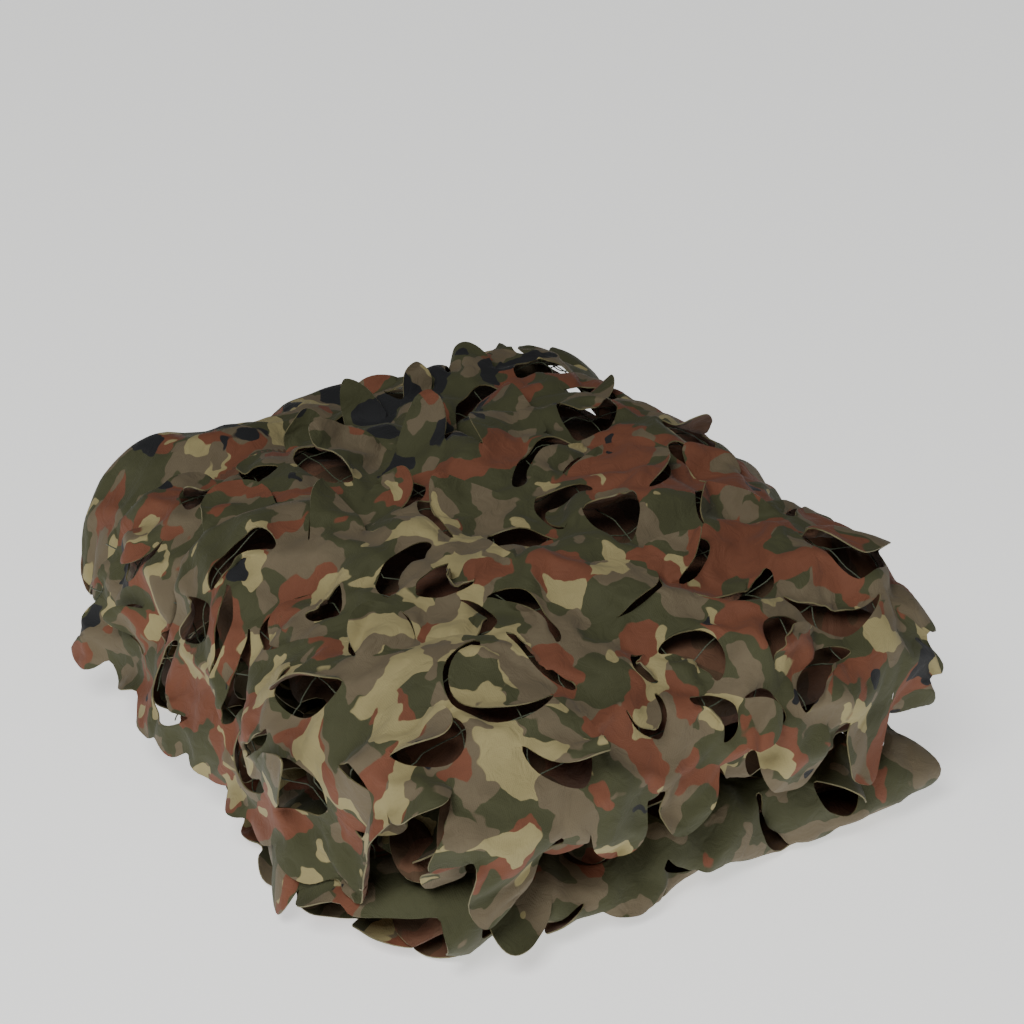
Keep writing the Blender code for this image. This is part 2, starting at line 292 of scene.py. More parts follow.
def leafy_edge(line, outwards, chance, deeper=1.0):
    """Rounded leaf tips with sharp notches between them, along a line of points."""
    steps = np.linalg.norm(np.diff(line, axis=0), axis=1)
    along = np.concatenate([[0.0], np.cumsum(steps)])
    found = []
    start = 0.0
    while start < along[-1] - TIP_WIDTH[0]:
        width = min(chance.uniform(*TIP_WIDTH), along[-1] - start)
        depth = deeper * chance.uniform(*TIP_DEPTH)
        lean = chance.uniform(*TIP_LEAN)
        count = max(6, round(width / EDGE_STEP))
        for k in range(count):
            share = k / count
            rise = math.sin(math.pi * share**lean) ** TIP_SHAPE - TIP_NOTCH
            at = start + share * width
            base = np.array([np.interp(at, along, line[:, 0]), np.interp(at, along, line[:, 1])])
            found.append(base + np.array(outwards) * rise * depth)
        start += width
    return np.array(found)


def leafy_side(start, end, side, reach, chance, deeper=1.0):
    """A side edge of leaf tips, from one distance along the strip to another."""
    v = np.linspace(start, end, max(2, int(abs(end - start) / EDGE_STEP)))
    return leafy_edge(np.stack([reach(v, side), v], 1), (side, 0), chance, deeper)


def straight_edge(a, b):
    """The points of a straight edge between two points of the outline, without the two."""
    count = max(2, int(np.linalg.norm(b - a) / STRAIGHT_STEP))
    return a + np.linspace(0, 1, count + 1)[1:-1, None] * (b - a)


def outer_outline(chance):
    """The outline of the outer cloth: leafy at the sides and the free end, straight where it is tucked in."""
    end = START["upper_under"] + OVERLAP_UNDER
    left = leafy_side(CORNER_ROUNDING[1], end, -1, reach_of, chance)
    right = leafy_side(end, CORNER_ROUNDING[1], 1, reach_of, chance, OUTER_RIGHT_DEEPER)
    u = np.linspace(right[-1][0] - CORNER_ROUNDING[0], left[0][0] + CORNER_ROUNDING[0], BACK_STEPS)
    back = leafy_edge(np.stack([u, np.interp(u, *BACK_TRIM)], 1), (0, -1), chance)
    return np.concatenate([left, right, back])


def inner_outline(chance):
    """The outline of the inner cloth: leafy at the sides, straight at both ends."""
    left = leafy_side(INNER_START, STRIP_LENGTH, -1, inner_reach, chance)
    right = leafy_side(STRIP_LENGTH, INNER_START, 1, inner_reach, chance, INNER_RIGHT_DEEPER)
    return np.concatenate([left, straight_edge(left[-1], right[0]), right, straight_edge(right[-1], left[0])])


def box_of(outline):
    """The least and most of an outline across, and then along."""
    (left, first), (right, last) = outline.min(0), outline.max(0)
    return left, right, first, last


# ---- the leaves ----
# A leaf is cut free on an arc and hinged on the straight line between the arc's ends. middle: the middle of
# its hinge; turn: the direction of its tip; neck: how much narrower than the leaf its hinge is; lift: how
# far it stands up at the hinge; curl: how much more it bends towards its tip; twist: how much more one side
# lifts than the other; gap: how wide its cut stands open. A slit is a leaf with no lift.
Leaf = namedtuple("Leaf", "u v turn width length neck pointed lift curl twist gap")

# the leaves and slits that stand out in the outer cloth; the others are scattered between them
PLACED_LEAVES = tuple(
    Leaf(*row)
    for row in (
        (-0.004, 0.104, -1.45, 0.046, 0.046, 0.1, 0.2, 1.15, 0.3, 0.2, 0.002),
        (0.056, 0.104, -1.7, 0.038, 0.040, 0.1, 0.2, 0.9, 0.3, 0.0, 0.002),
        (-0.064, 0.096, -1.5, 0.054, 0.038, 0.1, 0.1, 1.25, 0.2, 0.2, 0.002),
        (-0.110, 0.532, 2.78, 0.086, 0.068, 0.2, 0.0, 0.22, 0.2, -0.2, 0.004),
        (-0.230, 0.596, 1.86, 0.070, 0.042, 0.1, 0.0, 0.2, 0.1, 0.0, 0.002),
        (-0.130, 0.452, 0.89, 0.061, 0.041, 0.25, 0.0, 0.14, 0.2, 0.0, 0.002),
        (-0.338, 0.424, 1.13, 0.055, 0.080, 0.1, 0.0, 0.35, 0.3, 0.2, 0.002),
        (0.074, 0.372, -0.48, 0.106, 0.086, 0.2, 0.0, 0.28, 0.2, 0.0, 0.003),
        (-0.090, 0.412, 3.14, 0.043, 0.042, 0.0, 0.5, 0.6, 0.8, 0.3, 0.002),
        (-0.226, 0.432, 2.94, 0.076, 0.041, 0.1, 0.0, 0.35, 0.3, -0.3, 0.002),
        (-0.270, 0.220, 1.30, 0.036, 0.046, 0.1, 0.0, 0.35, 0.3, 0.2, 0.002),
        (-0.322, 0.240, -2.21, 0.080, 0.050, 0, 0.1, 0.05, 0, 0, 0.008),
        (-0.030, 0.356, -1.89, 0.082, 0.076, 0.0, 0.3, 0.42, 0.5, 0.2, 0.002),
        (-0.202, 0.348, -2.42, 0.066, 0.043, 0.2, 0.0, -0.25, 0.0, 0.0, 0.003),
        (-0.186, 0.348, 1.57, 0.031, 0.019, 0, 0.1, 0.1, 0, 0.0, 0.009),
        (-0.038, 0.592, 1.35, 0.032, 0.037, 0.0, 0.7, 0.45, 0.2, -0.2, 0.002),
        (-0.010, 0.568, -3.02, 0.031, 0.017, 0.1, 0.0, 0.38, 0.4, 0.2, 0.003),
        (0.050, 0.484, -0.20, 0.046, 0.061, 0.0, 0.1, 0.55, 0.9, 0.2, 0.002),
        (0.158, 0.464, -1.57, 0.080, 0.058, 0.0, 0.5, 0.4, 0.3, 0.2, 0.002),
        (0.106, 0.608, -1.93, 0.056, 0.034, 0.0, 0.2, 0.38, 0.5, -0.2, 0.002),
        (0.014, 0.584, -0.54, 0.057, 0.023, 0, 0.1, 0.15, 0, 0, 0.009),
        (0.010, 0.636, -0.46, 0.051, 0.018, 0, 0.1, 0.1, 0, 0, 0.008),
        (-0.170, 0.076, 2.12, 0.047, 0.061, 0.1, 0.0, 0.35, 0.2, 0.0, 0.002),
        (-0.214, 0.260, -1.19, 0.058, 0.022, 0, 0.1, 0.05, 0, 0, 0.009),
        (-0.146, 0.300, -1.20, 0.046, 0.074, 0.0, 0.4, 0.4, 0.3, 0.0, 0.002),
        (-0.054, 0.200, -2.21, 0.072, 0.080, 0.0, 0.3, 0.65, 0.1, 0.2, 0.002),
        (-0.014, 0.212, -0.81, 0.047, 0.072, 0.0, 0.2, 0.75, 0.3, 0.0, 0.002),
        (0.166, 0.226, 2.36, 0.052, 0.060, 0.0, 0.2, 0.2, 0.2, 0.0, 0.002),
        (-0.163, 0.670, 1.62, 0.078, 0.072, 0.15, 0.0, 0.12, 0.25, 0.1, 0.003),
        (-0.082, 0.674, 1.50, 0.062, 0.056, 0.1, 0.15, 0.05, 0.2, -0.2, 0.003),
        (-0.005, 0.676, 1.70, 0.066, 0.062, 0.1, 0.0, 0.2, 0.3, 0.2, 0.003),
        (0.085, 0.670, 1.45, 0.074, 0.060, 0.1, 0.0, 0.08, 0.2, -0.2, 0.003),
        (0.175, 0.670, 1.60, 0.070, 0.064, 0.2, 0.2, 0.15, 0.3, 0.2, 0.003),
    )
)
CUT_POINTS = 26
CUT_CLEARANCE = 0.0075


def leaf_axes(leaf):
    ahead = np.array([math.cos(leaf.turn), math.sin(leaf.turn)])
    return ahead, np.array([-ahead[1], ahead[0]])


def leaf_arc(leaf):
    """The points of a leaf's cut, from one end of its hinge to the other."""
    ahead, across = leaf_axes(leaf)
    turn = np.linspace(0, math.pi, CUT_POINTS)
    narrowing = 1 - leaf.neck * (1 - np.sin(turn)) ** 2
    wide = np.sign(np.cos(turn)) * np.abs(np.cos(turn)) ** (1 + leaf.pointed) * narrowing * leaf.width / 2
    far = np.sin(turn) * leaf.length
    return np.array([leaf.u, leaf.v]) + far[:, None] * ahead + wide[:, None] * across


def inside(points, polygon):
    """Whether points lie in a polygon."""
    x, y = points[:, 0, None], points[:, 1, None]
    x0, y0 = polygon[:, 0], polygon[:, 1]
    x1, y1 = np.roll(x0, -1), np.roll(y0, -1)
    crosses = (y0 > y) != (y1 > y)
    with np.errstate(divide="ignore", invalid="ignore"):
        edge = (x1 - x0) * (y - y0) / (y1 - y0) + x0
    return (np.sum(crosses & (x < edge), axis=1) % 2) == 1


def clear_of(arc, cuts, outline):
    """Whether a new cut stays clear of the other cuts, isn't in another leaf, and is well in the cloth."""
    if not inside(arc, outline).all():
        return False
    gaps = np.linalg.norm(arc[:, None] - outline[None], axis=2)
    if gaps.min() < CUT_CLEARANCE:
        return False
    for other in cuts:
        if np.linalg.norm(arc[:, None] - other[None], axis=2).min() < CUT_CLEARANCE:
            return False
        if inside(arc, other).any() or inside(other, arc).any():
            return False
    return True


# what random leaves are like: the least and most of each size, with lengths as shares of the width
ALONG_SHARE = 0.65  # the share that points along the strip
TURNED_SHARE = 0.5  # the share of those, and of the others, that points the other way
TURNED_AT_FRONT = (0.06, 0.08)  # from how far before the front fold on, and the share there
TURNED_AT_LEFT = (-0.24, 0.80)  # from where across on, and the share there
TURN_SPREAD = 0.6
LEAF_WIDTH = (0.046, 0.080)
LEAF_LENGTH = (0.80, 1.05)
LEAF_POINTED = (0, 0, 0.15, 0.5)
LEAF_CURL = (-0.3, 0.9)
LEAF_TWIST = (-0.5, 0.5)
LEAF_NECK = (0, 0.3)
LEAF_GAP = (0.001, 0.003)
CLOSED_LIFT = (-0.03, 0.06)
FOLDED_LIFT = (0.8, 1.3)
FOLDED_CURL = (0.3, 1.0)
SLIT_WIDER = 1.35
SLIT_LENGTH = (0.25, 0.40)
SLIT_POINTED = 0.1
SLIT_LIFT = (-0.15, 0.2)
SLIT_GAP = (0.004, 0.009)
# parts of the outer cloth where leaves stand up more or less: their reach, and what multiplies lift and curl
TOP_REACH = (0.20, 0.44)
TOP_STANDS = (1.15, 1.6)
BACK_REACH = 0.13
BACK_RIGHT_REACH = (0.11, 0.24)
BACK_STANDS = (0.25, 0.5)
# where leaves on top of the pack stand up in a ruffle: its middle on the flat cloth, and its reach
RUFFLED = (-0.040, 0.190, 0.150, 0.130)
RUFFLED_LIFT = 0.32
RUFFLED_STANDS = (0.7, -0.4)


def random_leaf(u, v, chance, sort):
    """A leaf with a random turn and shape, which lies lower near the free back end."""
    along = chance.random() < ALONG_SHARE
    turned = TURNED_SHARE
    if along and v > START["upper_front"] - TURNED_AT_FRONT[0]:
        turned = TURNED_AT_FRONT[1]
    if not along and u < TURNED_AT_LEFT[0]:
        turned = TURNED_AT_LEFT[1]
    turn = (math.pi / 2 if along else 0) + (math.pi if chance.random() < turned else 0)
    turn += chance.uniform(-TURN_SPREAD, TURN_SPREAD)
    width = chance.uniform(*LEAF_WIDTH)
    if chance.random() < sort.slits:
        length = width * chance.uniform(*SLIT_LENGTH)
        lift, gap = chance.uniform(*SLIT_LIFT), chance.uniform(*SLIT_GAP)
        return Leaf(u, v, turn, width * SLIT_WIDER, length, 0, SLIT_POINTED, lift, 0, 0, gap)
    length = width * chance.uniform(*LEAF_LENGTH)
    pointed = chance.choice(LEAF_POINTED)
    curl = chance.uniform(*LEAF_CURL)
    lift = chance.triangular(*sort.lift)
    if chance.random() < sort.closed:
        lift, curl = chance.uniform(*CLOSED_LIFT), 0
    if chance.random() < sort.folded_over:
        lift, curl = chance.uniform(*FOLDED_LIFT), chance.uniform(*FOLDED_CURL)
    if abs(u) < TOP_REACH[0] and v < TOP_REACH[1]:
        lift, curl = TOP_STANDS[0] * lift, TOP_STANDS[1] * curl
    if v < BACK_REACH or (u > BACK_RIGHT_REACH[0] and v < BACK_RIGHT_REACH[1]):
        lift, curl = BACK_STANDS[0] * lift, BACK_STANDS[1] * curl
    if math.hypot((u - RUFFLED[0]) / RUFFLED[2], (v - RUFFLED[1]) / RUFFLED[3]) < 1:
        lift, curl = RUFFLED_LIFT + RUFFLED_STANDS[0] * lift, RUFFLED_STANDS[1] * curl
    twist = chance.uniform(*LEAF_TWIST)
    neck, gap = chance.uniform(*LEAF_NECK), chance.uniform(*LEAF_GAP)
    return Leaf(u, v, turn, width, length, neck, pointed, lift, curl, twist, gap)


# sorts of leaves: the shares that are slits, lie closed and are folded over, and the rest's least, most and
# likeliest lift
Sort = namedtuple("Sort", "slits closed lift folded_over")
TOP_SORT = Sort(0.18, 0.22, (-0.25, 0.85, 0.26), 0.08)
BACK_SORT = Sort(0.40, 0.20, (-0.22, 0.12, -0.05), 0.0)
ROLL_SORT = Sort(0.45, 0.65, (-0.12, 0.30, 0.08), 0.0)


def scattered_leaves(box, fits, outline, chance, tries, sort, placed=()):
    """Leaves scattered over a part of the flat cloth, as close as their cuts may lie."""
    leaves = list(placed)
    cuts = [leaf_arc(leaf) for leaf in leaves]
    for _ in range(tries):
        u, v = chance.uniform(box[0], box[1]), chance.uniform(box[2], box[3])
        leaf = random_leaf(u, v, chance, sort)
        arc = leaf_arc(leaf)
        if fits(arc) and clear_of(arc, cuts, outline):
            leaves.append(leaf)
            cuts.append(arc)
    return leaves


SPOT_JITTER = 0.16  # how far points stray from their rows, as a share of their spacing
MERGE_DISTANCE = 1e-6
INWARDS = 0.25


def spots(box, spacing):
    """Points of the flat cloth in staggered rows, almost evenly spaced."""
    rows = np.arange(box[2], box[3], spacing * math.sqrt(3) / 2)
    columns = np.arange(box[0], box[1], spacing)
    u, v = np.meshgrid(columns, rows)
    u = u + (np.arange(len(rows)) % 2)[:, None] * spacing / 2
    flat = np.stack([u.ravel(), v.ravel()], 1)
    return flat + np.random.default_rng(3).uniform(-SPOT_JITTER, SPOT_JITTER, flat.shape) * spacing


def tree_of(points):
    """A search tree of flat points, or of points in space."""
    tree = kdtree.KDTree(len(points))
    for k, point in enumerate(points):
        tree.insert((*point, 0)[:3], k)
    tree.balance()
    return tree


def cut_out(outline, cuts, fill, clearance):
    """The flat cloth as triangles, split along its cuts. For each corner it also gives a place a little
    inside the triangles round it, which tells the two sides of a cut apart."""
    points = np.concatenate([outline, *cuts])
    near = tree_of(points)
    kept = [spot for spot in fill if near.find((*spot, 0))[2] > clearance]
    edges = [(k, (k + 1) % len(outline)) for k in range(len(outline))]
    first_cut = start = len(edges)
    for cut in cuts:
        edges += [(start + k, start + k + 1) for k in range(len(cut) - 1)]
        start += len(cut)
    flat_points = [Vector(point) for point in (*points, *kept)]
    found, made, faces, _, sources, _ = delaunay_2d_cdt(flat_points, edges, [], 0, MERGE_DISTANCE, True)
    mesh = bmesh.new()
    vertices = [mesh.verts.new((*point, 0)) for point in found]
    for face in faces:
        mesh.faces.new([vertices[k] for k in face])
    walls, seams = set(), set()
    for ends, source in zip(made, sources):
        edge = mesh.edges.get([vertices[k] for k in ends]) if source else None
        if edge:
            (walls if min(source) < first_cut else seams).add(edge)
    waiting = [edge.link_faces[0] for edge in mesh.edges if len(edge.link_faces) == 1 and edge not in walls]
    outside = set(waiting)
    while waiting:
        for edge in waiting.pop().edges:
            for face in edge.link_faces if edge not in walls else ():
                if face not in outside:
                    outside.add(face)
                    waiting.append(face)
    bmesh.ops.delete(mesh, geom=list(outside), context="FACES")
    bmesh.ops.split_edges(mesh, edges=[edge for edge in seams if edge.is_valid])
    loose = [vertex for vertex in mesh.verts if not vertex.link_faces]
    bmesh.ops.delete(mesh, geom=loose, context="VERTS")
    mesh.verts.index_update()
    flat = np.array([vertex.co[:2] for vertex in mesh.verts])
    triangles = np.array([[vertex.index for vertex in reversed(face.verts)] for face in mesh.faces])
    mesh.free()
    middles = flat[triangles].mean(axis=1)
    total = np.zeros_like(flat)
    count = np.zeros(len(flat))
    for corner in range(3):
        np.add.at(total, triangles[:, corner], middles)
        np.add.at(count, triangles[:, corner], 1)
    inner = flat + INWARDS * (total / count[:, None] - flat)
    return flat, triangles, inner


def nearest_on(line, points):
    """For each point, its distance to a line of points, how far along the line, and the line's normal."""
    a, b = line[:-1], line[1:]
    run = b - a
    share = np.einsum("pse,se->ps", points[:, None] - a, run) / np.maximum((run**2).sum(1), 1e-12)
    share = np.clip(share, 0, 1)
    gap = np.linalg.norm(points[:, None] - (a + share[..., None] * run), axis=2)
    best = gap.argmin(axis=1)
    rows = np.arange(len(points))
    normal = unit(np.stack([run[:, 1], -run[:, 0]], 1))[best]
    return gap[rows, best], (best + share[rows, best]) / len(a), normal


# how a cut opens: how far from it the cloth is pushed aside, and how evenly along it
OPENING_REACH = 0.016
OPENING_SHAPE = 0.7


def opened(flat, inner, leaves):
    """The flat points after the cuts have opened, and the number of the leaf that each one is on, or -1."""
    moved = flat.copy()
    owner = np.full(len(flat), -1)
    for number, leaf in enumerate(leaves):
        arc = leaf_arc(leaf)
        low, high = arc.min(0) - OPENING_REACH * 3, arc.max(0) + OPENING_REACH * 3
        near = np.where(((flat > low) & (flat < high)).all(1))[0]
        within = inside(inner[near], arc)
        owner[near[within]] = number
        gap, share, normal = nearest_on(arc, flat[near])
        width = leaf.gap * np.sin(math.pi * np.clip(share, 0, 1)) ** OPENING_SHAPE
        away = np.where(within, -1.0, 1.0) * width * np.exp(-gap / OPENING_REACH)
        side = np.sign(np.einsum("pe,pe->p", normal, flat[near] - arc.mean(0)))
        moved[near] += (away * side)[:, None] * normal
    return moved, owner


HINGE_SOFTNESS = 0.010
BEND_STEPS = 12


def bent_leaf(leaf, flat):
    """The points of a leaf, bent up from its hinge."""
    ahead, across = leaf_axes(leaf)
    offset = flat - (leaf.u, leaf.v)
    far, wide = offset @ ahead, offset @ across
    hinge = np.array([leaf.u, leaf.v]) + wide[:, None] * across + np.minimum(far, 0)[:, None] * ahead
    far = np.maximum(far, 0)
    base = place(hinge)
    normal = facing(hinge)
    tangent = unit(place(hinge + SLOPE_STEP * ahead) - base)
    side = wide / (leaf.width / 2)
    run = np.zeros(len(flat))
    rise = np.zeros(len(flat))
    for step in range(BEND_STEPS):
        at = (step + 0.5) / BEND_STEPS * far
        bend = (leaf.lift + leaf.twist * side) * (1 - np.exp(-at / HINGE_SOFTNESS))
        bend = bend + leaf.curl * (at / leaf.length) ** 2
        run += np.cos(bend) * far / BEND_STEPS
        rise += np.sin(bend) * far / BEND_STEPS
    return base + tangent * run[:, None] + normal * rise[:, None]


# ---- the shape of the folded cloth, in metres ----
# its soft creases: about how many there are to a metre, and how high they are
LARGE_CREASES = (11, 0.016)
SMALL_CREASES = (27, 0.006)
RIDGES = (17, 0.004)
RIDGE_SHARPNESS = 2.2
# how the left side stands out a little, and its front corner is drawn in: from where across and over what
# length; and how far along the strip, over what length, and how much
LEFT_STANDS_OUT = 0.007
LEFT_SIDE = (0.12, 0.1)
LEFT_CORNER = (0.26, 0.14)
FRONT_DRAWN_IN = (0.53, 0.10, 0.040)
# how far the inner plies hang down at their side edges: the mean, its waves along the strip (height, radians
# to a metre, phase), and from where across, over what length, and how suddenly
DROOP = 0.015
DROOP_WAVES = ((0.006, 37, 0), (0.005, 91, 2))
DROOP_REACH = (-0.045, 0.06)
DROOP_SHAPE = 1.5
# how far the rim stands up: places across and how much; what share of it at distances along the strip; and
# from where on towards the back, over what length
RIM_RISE = ((-0.28, -0.22, -0.16, -0.04, 0.06, 0.20, 0.30), (-0.004, 0.012, 0.026, 0.026, 0.008, 0.016, 0.0))
RIM_ROLL = ((START["rim"] - 0.13, START["rim"] - 0.10, START["tuck"], START["tuck"] + 0.10), (0, 1, 0.7, 0))
RIM_BACK = (0.246, 0.030)


def crumple(flat, rough):
    """How far the cloth's soft creases move it, along its normal."""
    amount = np.empty(len(flat))
    for k, point in enumerate(place(flat)):
        large = noise.noise(Vector(point) * LARGE_CREASES[0])
        small = noise.noise(Vector(point) * SMALL_CREASES[0] + Vector((7, 3, 1)))
        ridge = 1 - abs(noise.noise(Vector(point) * RIDGES[0] + Vector((2, 9, 4)))) * RIDGE_SHARPNESS
        amount[k] = LARGE_CREASES[1] * large + SMALL_CREASES[1] * small + RIDGES[1] * max(ridge, 0)
    return amount * rough


def end_droop(flat):
    """How far the inner cloth's plies hang down at their side edges, a little more here and less there."""
    amount = DROOP
    for height, turns, phase in DROOP_WAVES:
        amount = amount + height * np.sin(flat[:, 1] * turns + phase)
    return amount * ramp(-from_side(flat), *DROOP_REACH) ** DROOP_SHAPE


def rim_rise(flat, y):
    """How far the inner cloth stands up along the rim, where the outer one doesn't press on it."""
    u, v = flat.T
    return np.interp(u, *RIM_RISE) * np.interp(v, *RIM_ROLL) * ramp(y, *RIM_BACK)


def shaped(flat, inner, leaves, rough):
    """The cloth's points in the folded pack, and the number of the leaf that each one is on, or -1."""
    moved, owner = opened(flat, inner, leaves)
    points = place(moved)
    for number, leaf in enumerate(leaves):
        mine = np.where(owner == number)[0]
        if len(mine):
            points[mine] = bent_leaf(leaf, moved[mine])
    points += facing(flat) * crumple(flat, rough)[:, None]
    u, v = flat.T
    points[:, 0] -= LEFT_STANDS_OUT * ramp(-u, *LEFT_SIDE)
    points[:, 0] += bulge(v, *FRONT_DRAWN_IN) * ramp(-u, *LEFT_CORNER)
    points[:, 2] += np.where(v > INNER_START, rim_rise(flat, points[:, 1]) - end_droop(flat), 0)
    points[:, 2] = np.maximum(points[:, 2], FLOOR_LEVEL)
    return points, owner


# ---- materials ----
WAVE_LENGTH = 0.314  # of a wave texture with a scale of 1, in metres
EDGE_SOFTNESS = 0.004  # of the print's blobs, in levels of their field
THREAD_SPACING = 0.0014
TWIST_SPACING = 0.0022
# the layers of the print: the colour, its blobs' scale, detail and offset, the level from which it is
# printed, and the soft region that has more of it, and how much
PRINT_LAYERS = (
    ("taupe", 20.0, 1.5, (3, 1, 0), 0.560, None, 0),
    ("rust", 17.0, 1.6, (11, 5, 0), 0.585, "rust", 0.13),
    ("sand", 22.0, 1.6, (23, 8, 0), 0.625, "sand", 0.15),
    ("taupe", 21.0, 1.4, (31, 2, 0), 0.660, "sand", 0.05),
    ("blue_black", 26.0, 0.8, (5, 41, 0), 0.800, "dark", 0.25),
)
# the same for dye that has come through to the reverse, with how much of it has
REVERSE_LAYERS = (("olive", 20.0, 1.2, (3, 1, 0), 0.52, 0.28), ("rust", 17.0, 1.2, (11, 5, 0), 0.60, 0.30))


def assign(thing, settings):
    for name, value in settings.items():
        setattr(thing, name, value)


def wire(material, node, sockets):
    """Gives a node's sockets values, or links from other sockets or from the first outputs of nodes."""
    for name, value in sockets.items():
        if isinstance(value, bpy.types.Node):
            value = value.outputs[0]
        if isinstance(value, bpy.types.NodeSocket):
            material.node_tree.links.new(value, node.inputs[name])
        else:
            node.inputs[name].default_value = value


def add_node(material, kind, sockets=None, **settings):
    """A node with its settings, and its sockets' values and links."""
    node = material.node_tree.nodes.new("ShaderNode" + kind)
    assign(node, settings)
    wire(material, node, sockets or {})
    return node


def new_material(name):
    material = bpy.data.materials.new(name)
    material.use_nodes = True
    return material, material.node_tree.nodes["Principled BSDF"]


def blobs(material, where, scale, detail, offset):
    """A smooth field whose high places are rounded blobs."""
    moved = add_node(material, "VectorMath", {0: where, 1: offset}, operation="ADD")
    sockets = {"Vector": moved, "Scale": scale, "Detail": detail, "Roughness": 0.45}
    return add_node(material, "TexNoise", sockets, noise_dimensions="2D")


def biased(material, field, region, amount):
    """A colour's field, with more of the colour in a soft region of the cloth."""
    share = add_node(material, "Attribute", attribute_name=region).outputs["Fac"]
    more = add_node(material, "Math", {0: share, 1: amount}, operation="MULTIPLY")
    return add_node(material, "Math", {0: field, 1: more}, operation="ADD")


def layer(material, under, colour, field, level):
    """Prints a colour over what is under it, with a crisp edge, where a field is above a level."""
    edge = {"From Min": level - EDGE_SOFTNESS, "From Max": level + EDGE_SOFTNESS}
    mask = add_node(material, "MapRange", {"Value": field, **edge})
    sockets = {"Factor": mask, "A": under, "B": (*colour, 1)}
    return add_node(material, "Mix", sockets, data_type="RGBA").outputs["Result"]


def printed_polyester(colours):
    """Printed woven polyester: flat crisp print, matt, with a faint sheen on the filaments. The print's blobs
    are pushed about so that they aren't too round, and it is mottled a little."""
    material, surface = new_material("printed_polyester_cloth")
    flat = add_node(material, "UVMap", uv_map="flat")
    sockets = {"Vector": flat, "Scale": 45.0, "Detail": 1.0}
    push = add_node(material, "TexNoise", sockets, noise_dimensions="2D")
    sockets = {0: push.outputs["Color"], 1: (0.5, 0.5, 0.5)}
    centred = add_node(material, "VectorMath", sockets, operation="SUBTRACT")
    pushed = add_node(material, "VectorMath", {0: centred, "Scale": 0.018}, operation="SCALE")
    where = add_node(material, "VectorMath", {0: flat, 1: pushed}, operation="ADD")
    colour = add_node(material, "RGB")
    colour.outputs[0].default_value = (*colours["olive"], 1)
    for name, scale, detail, offset, level, region, amount in PRINT_LAYERS:
        field = blobs(material, where, scale, detail, offset)
        if region:
            field = biased(material, field, region, amount)
        colour = layer(material, colour, colours[name], field, level)
    on_piece = add_node(material, "TexCoord").outputs["Object"]
    mottle = add_node(material, "TexNoise", {"Scale": 60.0, "Detail": 4.0, "Vector": on_piece})
    shade = add_node(material, "MapRange", {"Value": mottle, "To Min": 0.86, "To Max": 1.12})
    tinted = add_node(material, "VectorMath", {0: colour, "Scale": shade}, operation="SCALE")
    finish = {"Roughness": 0.82, "Sheen Weight": 0.05, "Sheen Roughness": 0.5}
    wire(material, surface, {"Base Color": tinted, "Normal": weave(material, flat, 0.25), **finish})
    return material


def weave(material, flat, strength):
    """The normals of a plain weave of two crossing waves, over the cloth's fine wrinkles. Real threads are
    0.3 mm apart, here 1.4 mm so that they show. The wrinkles are 10 to 20 mm long and a few tenths of a
    millimetre deep, as thin polyester keeps them after it has been packed."""
    sockets = {"Vector": flat, "Scale": 62.0, "Detail": 3.0, "Roughness": 0.55, "Distortion": 0.6}
    wrinkle = add_node(material, "TexNoise", sockets, noise_dimensions="2D")
    wrinkled = add_node(material, "Bump", {"Height": wrinkle, "Strength": 0.6, "Distance": 0.0030})
    sockets = {"Vector": flat, "Scale": WAVE_LENGTH / THREAD_SPACING, "Distortion": 1.0, "Detail": 1.0}
    warp, weft = (
        add_node(material, "TexWave", sockets, bands_direction=way).outputs["Fac"] for way in ("X", "Y")
    )
    both = add_node(material, "Math", {0: warp, 1: weft}, operation="MULTIPLY")
    return add_node(
        material, "Bump", {"Height": both, "Normal": wrinkled, "Strength": strength, "Distance": 0.0004}
    )


def reverse_polyester(colours):
    """The unprinted back of the cloth: dark brown, matt, cloudy, with dye come through from the print."""
    material, surface = new_material("dyed_polyester_reverse")
    brown = colours["reverse"]
    flat = add_node(material, "UVMap", uv_map="flat")
    sockets = {"Vector": flat, "Scale": 26.0, "Detail": 3.0}
    cloud = add_node(material, "TexNoise", sockets, noise_dimensions="2D")
    shades = {"A": (*brown, 1), "B": (*(c * 1.8 for c in brown), 1)}
    colour = add_node(material, "Mix", {"Factor": cloud, **shades}, data_type="RGBA").outputs["Result"]
    for name, scale, detail, offset, level, share in REVERSE_LAYERS:
        through = tuple(between(a, b, share) for a, b in zip(brown, colours[name]))
        colour = layer(material, colour, through, blobs(material, flat, scale, detail, offset), level)
    finish = {"Roughness": 0.85, "Sheen Weight": 0.08}
    wire(material, surface, {"Base Color": colour, "Normal": weave(material, flat, 0.2), **finish})
    return material


def edge_painted_highlight_material(colours):
    """The cut edge of the cloth: olive speckled with a pale colour, which is a painted highlight where the
    edges catch the light.
    """
    material, surface = new_material("polyester_edge_painted_highlight")
    on_piece = add_node(material, "TexCoord").outputs["Object"]
    specks = add_node(material, "TexNoise", {"Scale": 90.0, "Detail": 2.0, "Vector": on_piece})
    # the pale colour mixed in here is a painted highlight on the cut edges
    shades = {"A": (*colours["olive"], 1), "B": (*colours["cut_edge_highlight"], 1)}
    mix = add_node(material, "Mix", {"Factor": specks, **shades}, data_type="RGBA").outputs["Result"]
    wire(material, surface, {"Base Color": mix, "Roughness": 0.6})
    return material


